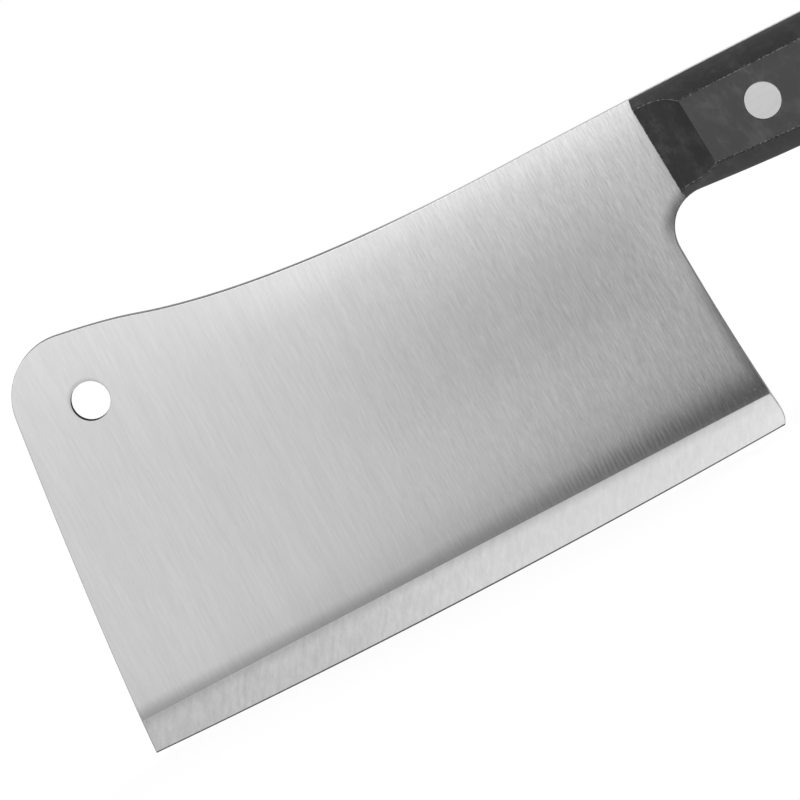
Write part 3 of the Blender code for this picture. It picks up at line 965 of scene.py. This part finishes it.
def painted_heel_shade(x, z):
    """1 on the open face, less where shade is painted along the edges of the heel and the choil."""
    choil = (CHOIL_RADIUS - CHOIL_SET_IN, CHOIL_CENTRE_HEIGHT)
    lean = (HEEL_BULGE + CHOIL_SET_IN) / (CHOIL_CENTRE_HEIGHT - HEEL_BULGE_HEIGHT)
    from_heel = (z - HEEL_BULGE_HEIGHT) * -lean + HEEL_BULGE - x
    beside_choil = z.maths("GREATER_THAN", CHOIL_CENTRE_HEIGHT)
    inside = beside_choil.mix(from_heel, beyond_circle(x, z, choil, CHOIL_RADIUS))
    deepest = z.ramp(HEEL_SHADE_DEPTH).maths("MINIMUM", z.ramp(CHOIL_SHADE_DEPTH))
    return inside.ramp(Ramp(0.0, HEEL_SHADE_WIDTH, deepest, 1.0))


def painted_hole_shade(x, z):
    """1 on the open face, less where shade is painted round the upper side of the hanging hole."""
    (across, up), radius = blade_holes()[0]
    shifted = (across + HOLE_SHADE_SHIFT[0], up + HOLE_SHADE_SHIFT[1])
    return beyond_circle(x, z, shifted, radius).ramp(HOLE_SHADE_FROM_CIRCLE)


def wheel_chatter(x, above, wander):
    """Faint ribs that the grinding wheel left just above the shoulder."""
    phase = x * (2 * math.pi / CHATTER_SPACING) + wander * CHATTER_WANDER
    depth = above.within(CHATTER_UP) * x.within(CHATTER_ALONG) * -CHATTER_DEPTH
    return phase.maths("SINE") * depth + 1.0


def heel_nicks(point, x, above):
    """A few bright nicks in the corner between the heel and the shoulder."""
    nicks = noise(point, NICKS).ramp(NICK_LEVELS) * x.ramp(NICKS_NEAR_HEEL)
    return nicks * above.ramp(NICKS_NEAR_SHOULDER) * NICK_TONE


def painted_face_light_and_shade(x, z):
    """Painted shade in a darker cloud halfway up the face towards the heel, and a painted highlight in a
    strip under the spine.
    """
    # Painted shade and painted highlight, as factors on the face's tone.
    cloud = z.within(SHADE_CLOUD_UP) * x.within(SHADE_CLOUD_ALONG)
    strip = z.ramp(HIGHLIGHT_STRIP_BOTTOM) * x.ramp(HIGHLIGHT_STRIP_TOEWARD)
    return cloud * -SHADE_CLOUD_DEPTH + 1.0 + strip * HIGHLIGHT_STRIP_GAIN


def face_steel():
    """Fine grain from spine to edge, with painted shade in a band above the shoulder, by the heel, the
    choil and the hanging hole, and painted light and shade across the face.
    """
    material, shader, point, x, _, z = principled("brushed_face_steel")
    fine = noise(point, FACE_FINE)
    long = noise(point, FACE_LONG)
    broad = noise(point, FACE_BROAD)
    above = z - BEVEL_HEIGHT
    # Painted shade: a darker band just above the shoulder, narrower towards the toe.
    band = (above / x.ramp(PAINTED_SHADE_BAND_WIDTH)).ramp(PAINTED_SHADE_BAND_TONE)
    contrast = x.ramp(FINE_CONTRAST_ALONG) * z.ramp(FINE_CONTRAST_UP)
    tone = (fine - 0.5) * contrast + 1.0
    tone = tone * long.spread(*FACE_LONG_TONES) * broad.spread(*FACE_BROAD_TONES)
    # Painted shade along the heel and the choil, where it is darker than the band.
    tone = tone * band.maths("MINIMUM", painted_heel_shade(x, z)) * STEEL_TONE
    # Painted shade round the hanging hole, and the painted cloud and strip across the face.
    tone = tone * wheel_chatter(x, above, broad) * painted_hole_shade(x, z) * painted_face_light_and_shade(x, z)
    tone = tone + heel_nicks(point, x, above)
    brushed(shader, tone, fine, FACE_ROUGHNESS, depth=0.000006, anisotropy=0.8)
    return material


def rim_steel(name, darkest, glancing):
    """The narrow sides: sheared grain darkened with painted shade, and lighter with painted light
    towards the rear.
    """
    material, shader, point, x, _, z = principled(name)
    drag = noise(point, RIM_DRAG)
    # Painted light: brighter at the rear of the spine and at the heel's bulge.
    ends = z.ramp(RIM_PAINTED_LIGHT_SPINE).maths("MAXIMUM", z.ramp(RIM_PAINTED_LIGHT_BULGE))
    painted_light = ends * x.ramp(RIM_PAINTED_LIGHT_REAR)
    tone = drag.spread(darkest, RIM_SPREAD * darkest) * (painted_light * RIM_PAINTED_LIGHT_GAIN + 1.0)
    brushed(shader, tone, drag, RIM_ROUGHNESS, depth=0.000010, anisotropy=0.0)
    shader.inputs["Specular Tint"].default_value = (glancing, glancing, glancing, 1)
    return material


def bevel_steel():
    """Coarser marks across the bevel, from the grinding wheel, livelier towards the toe, with painted
    light towards the heel and painted shade at the toe and under the shoulder.
    """
    material, shader, point, x, _, z = principled("ground_bevel_steel")
    coarse = noise(point, BEVEL_COARSE)
    fine = noise(point, BEVEL_FINE)
    mottle = coarse * BEVEL_COARSE_CONTRAST + fine * BEVEL_FINE_CONTRAST - BEVEL_MIDDLE
    # Painted shade under the shoulder, eased off near the heel.
    painted_top_shade = z.ramp(BEVEL_TOP_PAINTED_SHADE).maths("MAXIMUM", x.ramp(BEVEL_TOP_SHADE_EASED_AT_HEEL))
    tone = (mottle * x.ramp(BEVEL_CONTRAST_ALONG) + 1.0) * painted_top_shade
    # Painted light towards the heel and painted shade at the toe.
    tone = tone * x.ramp(BEVEL_TONE_AND_PAINTED_LIGHT) * x.ramp(BEVEL_TOE_PAINTED_SHADE)
    brushed(shader, tone, coarse, BEVEL_ROUGHNESS, depth=0.000010, anisotropy=0.4)
    return material


def honed_steel():
    """The honed strip along the edge: finer and darker than the bevel above it."""
    material, shader, point, *_ = principled("honed_edge_steel")
    fine = noise(point, HONED_FINE)
    brushed(shader, fine.spread(*HONED_TONES), fine, HONED_ROUGHNESS, depth=0.000003, anisotropy=0.3)
    return material


def rivet_steel():
    """Flush heads sanded in one direction along the handle."""
    material, shader, point, *_ = principled("sanded_rivet_steel")
    fine = noise(point, RIVET_FINE)
    blotches = noise(point, RIVET_BLOTCHES)
    tone = fine * RIVET_FINE_CONTRAST + blotches * RIVET_BLOTCH_CONTRAST + RIVET_DARKEST
    brushed(shader, tone, fine, RIVET_ROUGHNESS, depth=0.000004, anisotropy=0.6)
    shader.inputs["Anisotropic Rotation"].default_value = 0.25
    return material


def edge_of(tree, radius):
    """0 on open surface, rising over the rounded edges."""
    bevel = add_node(tree, "ShaderNodeBevel", {"Radius": radius}, samples=EDGE_SAMPLES).outputs["Normal"]
    normal = add_node(tree, "ShaderNodeNewGeometry").outputs["Normal"]
    inputs = {0: bevel, 1: normal}
    facing = add_node(tree, "ShaderNodeVectorMath", inputs, operation="DOT_PRODUCT").outputs["Value"]
    return Field(facing) * -1.0 + 1.0


def handle_plastic(name, depth_of_black, sheen, specular, wear_and_highlight, painted_shade_share=1.0, ridge=False):
    """Black moulded plastic with buffing streaks, and bright specks on its ridges and edges: partly
    rubbed wear, partly painted highlight.

    Painted shade darkens its tone to this share from the front of the handle to the end of the scoop.
    """
    material, shader, point, x, *_ = principled(name)
    pebble = noise(point, PEBBLES)
    streak = noise(point, STREAKS)
    smudge = noise(point, SMUDGES)
    worn_and_highlit = 1.0 if ridge else edge_of(x.tree, WEAR_AND_HIGHLIGHT_RADIUS).ramp(WEAR_AND_HIGHLIGHT_TURN)
    # Bright specks on the ridges and rounded edges: partly rubbed wear, partly painted highlight.
    wear_and_highlight_specks = noise(point, SPECKS).ramp(SPECK_LEVELS) * worn_and_highlit
    tone = pebble.spread(*PEBBLE_TONES) + streak.ramp(STREAK_TONES) + smudge.ramp(SMUDGE_TONES)
    # Painted shade: darker behind the front of the handle.
    tone = tone * x.ramp(Ramp(*PAINTED_SHADE_SPAN, 1.0, painted_shade_share)) * depth_of_black
    tone = tone + wear_and_highlight_specks * (SPECK_WEAR_AND_HIGHLIGHT_TONE * wear_and_highlight)
    roughness = streak.spread(sheen - STREAK_ROUGHNESS, sheen + STREAK_ROUGHNESS)
    surfaced(shader, tone, roughness, streak * STREAK_HEIGHT + pebble, PLASTIC_DEPTH)
    shader.inputs["Specular IOR Level"].default_value = specular
    return material


# Studio

FLOOR_REACH = 1.6
FLOOR_GREY = 0.9
WHITE = (1, 1, 1, 1)

# How white the floor is kept under its shadow, by the distance from the middle of the object
FLOOR_KEEPS_WHITE = Ramp(0.15, 0.5, 0.85, 1.0)

# Cards that only reflections see: their places, and their brightness by x, by z or by distance in Y
CARD_REACH = 0.6
MAT_LIFT = 0.0004
MAT_NEAR = 0.035
WALL_DISTANCE = 0.40
WALL_HEIGHT = 0.14
MAT_NEAR_FADE = Ramp(MAT_NEAR, 0.055)
MAT_FAR_FADE = Ramp(0.063, 0.246)
MAT_STRIP = Ramp(-0.158, 0.002, 0.90, 0.04, "LINEAR")
ROOM = Ramp(-0.163, -0.013, 1.0, 0.44, "LINEAR")
WALL_TOP = Ramp(-0.163, -0.013, 1.15, 2.35, "LINEAR")
WALL_RISE = Ramp(0.0524, 0.0774)
NEAR_STRENGTH = 1.0
FAR_STRENGTH = 0.45

# The world's brightness by direction: lighter overhead, and lighter still beyond the butt
OVERHEAD = Ramp(-0.1, 0.9, 0.62, 0.95)
BEYOND_BUTT = Ramp(0.3, 1.0, 0.0, 0.6)


def bare_tree(owner):
    """The empty node tree of a material or world."""
    owner.use_nodes = True
    owner.node_tree.nodes.clear()
    return owner.node_tree


def staged_card(name, corners, material):
    """A flat card of the studio, which is not part of the object."""
    mesh = bpy.data.meshes.new(name)
    mesh.from_pydata(corners, [], [(0, 1, 2, 3)])
    mesh.materials.append(material)
    card = linked(mesh, name)
    return card


def backdrop_share(tree):
    """1 for rays that see the background: straight, in a reflection or through glass."""
    rays = add_node(tree, "ShaderNodeLightPath").outputs
    seen = Field(rays["Is Camera Ray"]).maths("MAXIMUM", rays["Is Glossy Ray"])
    return seen.maths("MAXIMUM", rays["Is Transmission Ray"])


def make_floor():
    """A pale floor that renders white and keeps a soft shadow."""
    material = bpy.data.materials.new("white_floor")
    tree = bare_tree(material)
    paint = add_node(tree, "ShaderNodeBsdfDiffuse", {"Color": (FLOOR_GREY,) * 3 + (1,)}).outputs[0]
    white = add_node(tree, "ShaderNodeEmission", {"Color": WHITE, "Strength": 1.0}).outputs[0]
    point = add_node(tree, "ShaderNodeTexCoord").outputs["Object"]
    away = add_node(tree, "ShaderNodeVectorMath", {0: point}, operation="LENGTH").outputs["Value"]
    share = backdrop_share(tree) * Field(away).ramp(FLOOR_KEEPS_WHITE)
    surface = add_node(tree, "ShaderNodeMixShader", {0: share, 1: paint, 2: white}).outputs[0]
    add_node(tree, "ShaderNodeOutputMaterial", {"Surface": surface})
    corners = [(x * FLOOR_REACH, y * FLOOR_REACH, 0) for x, y in ((-1, -1), (1, -1), (1, 1), (-1, 1))]
    staged_card("floor", corners, material)


def reflected_only(name, corners, level_of, strength):
    """A card that only reflections see. Its place in the frame says how far from white it is."""
    material = bpy.data.materials.new(name)
    tree = bare_tree(material)
    level = (level_of(*place_of(tree)[1:]) - 1.0) * strength + 1.0
    glow = add_node(tree, "ShaderNodeEmission", {"Color": level.grey(), "Strength": 1.0}).outputs[0]
    add_node(tree, "ShaderNodeOutputMaterial", {"Surface": glow})
    card = staged_card(name, corners, material)
    card.visible_camera = False
    card.visible_diffuse = False
    card.visible_transmission = False
    card.visible_volume_scatter = False
    card.visible_shadow = False


def mat_level(x, y, _):
    """White near the blade, then a dark strip, deepest before the heel, then the room."""
    away = y.maths("ABSOLUTE")
    dark = away.ramp(MAT_NEAR_FADE).mix(1.0, x.ramp(MAT_STRIP))
    return away.ramp(MAT_FAR_FADE).mix(dark, x.ramp(ROOM))


def wall_level(x, _, z):
    """The room's level low down, dimmer towards the handle, and a bright softbox above it."""
    return z.ramp(WALL_RISE).mix(x.ramp(ROOM), x.ramp(WALL_TOP))


def make_cards():
    """A mat on the floor and a low wall on each side, which shape the reflections in the steel."""
    for name, side, strength in (("near", -1, NEAR_STRENGTH), ("far", 1, FAR_STRENGTH)):
        near, far = side * MAT_NEAR, side * WALL_DISTANCE
        mat = [(-CARD_REACH, near, MAT_LIFT), (CARD_REACH, near, MAT_LIFT),
               (CARD_REACH, far, MAT_LIFT), (-CARD_REACH, far, MAT_LIFT)]
        wall = [(-CARD_REACH, far, MAT_LIFT), (CARD_REACH, far, MAT_LIFT),
                (CARD_REACH, far, WALL_HEIGHT), (-CARD_REACH, far, WALL_HEIGHT)]
        reflected_only(name + "_mat", mat, mat_level, strength)
        reflected_only(name + "_wall", wall, wall_level, strength)


def make_world():
    """White to the camera, and a soft grey studio to everything else."""
    world = bpy.data.worlds.new("studio")
    bpy.context.scene.world = world
    tree = bare_tree(world)
    direction = add_node(tree, "ShaderNodeTexCoord").outputs["Generated"]
    towards = add_node(tree, "ShaderNodeSeparateXYZ", {"Vector": direction}).outputs
    studio = Field(towards["Z"]).ramp(OVERHEAD) + Field(towards["X"]).ramp(BEYOND_BUTT)
    seen = add_node(tree, "ShaderNodeLightPath").outputs["Is Camera Ray"]
    level = Field(seen).mix(studio, 1.0)
    background = add_node(tree, "ShaderNodeBackground", {"Color": level.grey()}).outputs[0]
    add_node(tree, "ShaderNodeOutputWorld", {"Surface": background})


def softbox(name, place, aim, size, power):
    """A square lamp at a place, facing a point."""
    lamp = bpy.data.lights.new(name, "AREA")
    lamp.shape = "RECTANGLE"
    lamp.size = lamp.size_y = size
    lamp.energy = power
    holder = linked(lamp, name)
    holder.location = place
    holder.rotation_mode = "QUATERNION"
    holder.rotation_quaternion = (Vector(aim) - Vector(place)).to_track_quat("-Z", "Y")


def make_camera():
    data = bpy.data.cameras.new("camera")
    data.lens = data.sensor_width * VIEW_DISTANCE / VIEW_WIDTH
    data.clip_start, data.clip_end = VIEW_CLIP
    camera = linked(data, "camera")
    image_up = Vector((math.sin(VIEW_ROLL), 0, math.cos(VIEW_ROLL)))
    image_right = Vector((math.cos(VIEW_ROLL), 0, -math.sin(VIEW_ROLL)))
    square_on = Vector((0, -1, 0))
    back = square_on + image_up * math.tan(VIEW_LIFT) + image_right * math.tan(VIEW_TURN)
    back.normalize()
    tilt = square_on.rotation_difference(back)
    turn = Matrix((tilt @ image_right, tilt @ image_up, back)).transposed().to_4x4()
    camera.matrix_world = Matrix.Translation(VIEW_CENTRE + back * VIEW_DISTANCE) @ turn
    bpy.context.scene.camera = camera


def seated(piece, node):
    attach(piece, "root")
    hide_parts(node)


def main():
    bpy.context.scene.view_settings.view_transform = "Standard"
    make_camera()
    make_world()
    make_floor()
    make_cards()
    softbox("key", place=(-0.55, -0.85, 0.55), aim=(-0.10, 0, 0.08), size=1.1, power=5.0)
    softbox("rear", place=(0.5, 0.9, 0.8), aim=(0, 0, 0.05), size=0.8, power=6.0)

    # Sheared rims darkened with painted shade, and painted light towards the rear.
    rim = rim_steel("sheared_rim_steel_painted_light_and_shade", darkest=0.07, glancing=0.8)
    # The hole's wall: near black, with darkened glancing reflections, as painted shade in the hole.
    hole = rim_steel("hole_steel_painted_shade", darkest=0.02, glancing=0.12)
    blade = make_blade([face_steel(), bevel_steel(), honed_steel(), rim, hole])
    seated(blade, "blade")
    plastics = [
        handle_plastic("satin_black_panel", depth_of_black=0.034, sheen=0.42, specular=0.5, wear_and_highlight=0.3),
        # The facets: a copy darkened with painted shade behind the scoop's front.
        handle_plastic("buffed_black_facets", depth_of_black=0.030, sheen=0.38, specular=0.14,
                       wear_and_highlight=1.0, painted_shade_share=0.68),
        # The ridge: specks all over, partly rubbed wear, partly painted highlight.
        handle_plastic("ridge_wear_and_painted_highlight", depth_of_black=0.030, sheen=0.50, specular=0.3,
                       wear_and_highlight=0.5, ridge=True),
    ]
    for name, side in (("left_scale", -1), ("right_scale", 1)):
        seated(make_scale(name + "_fine", side, plastics), name)
    steel = rivet_steel()
    for name, place in zip(RIVET_NAMES, rivet_places()):
        female, male = make_rivet(name, place, steel)
        seated(female, name + "_female")
        seated(male, name + "_male")


main()
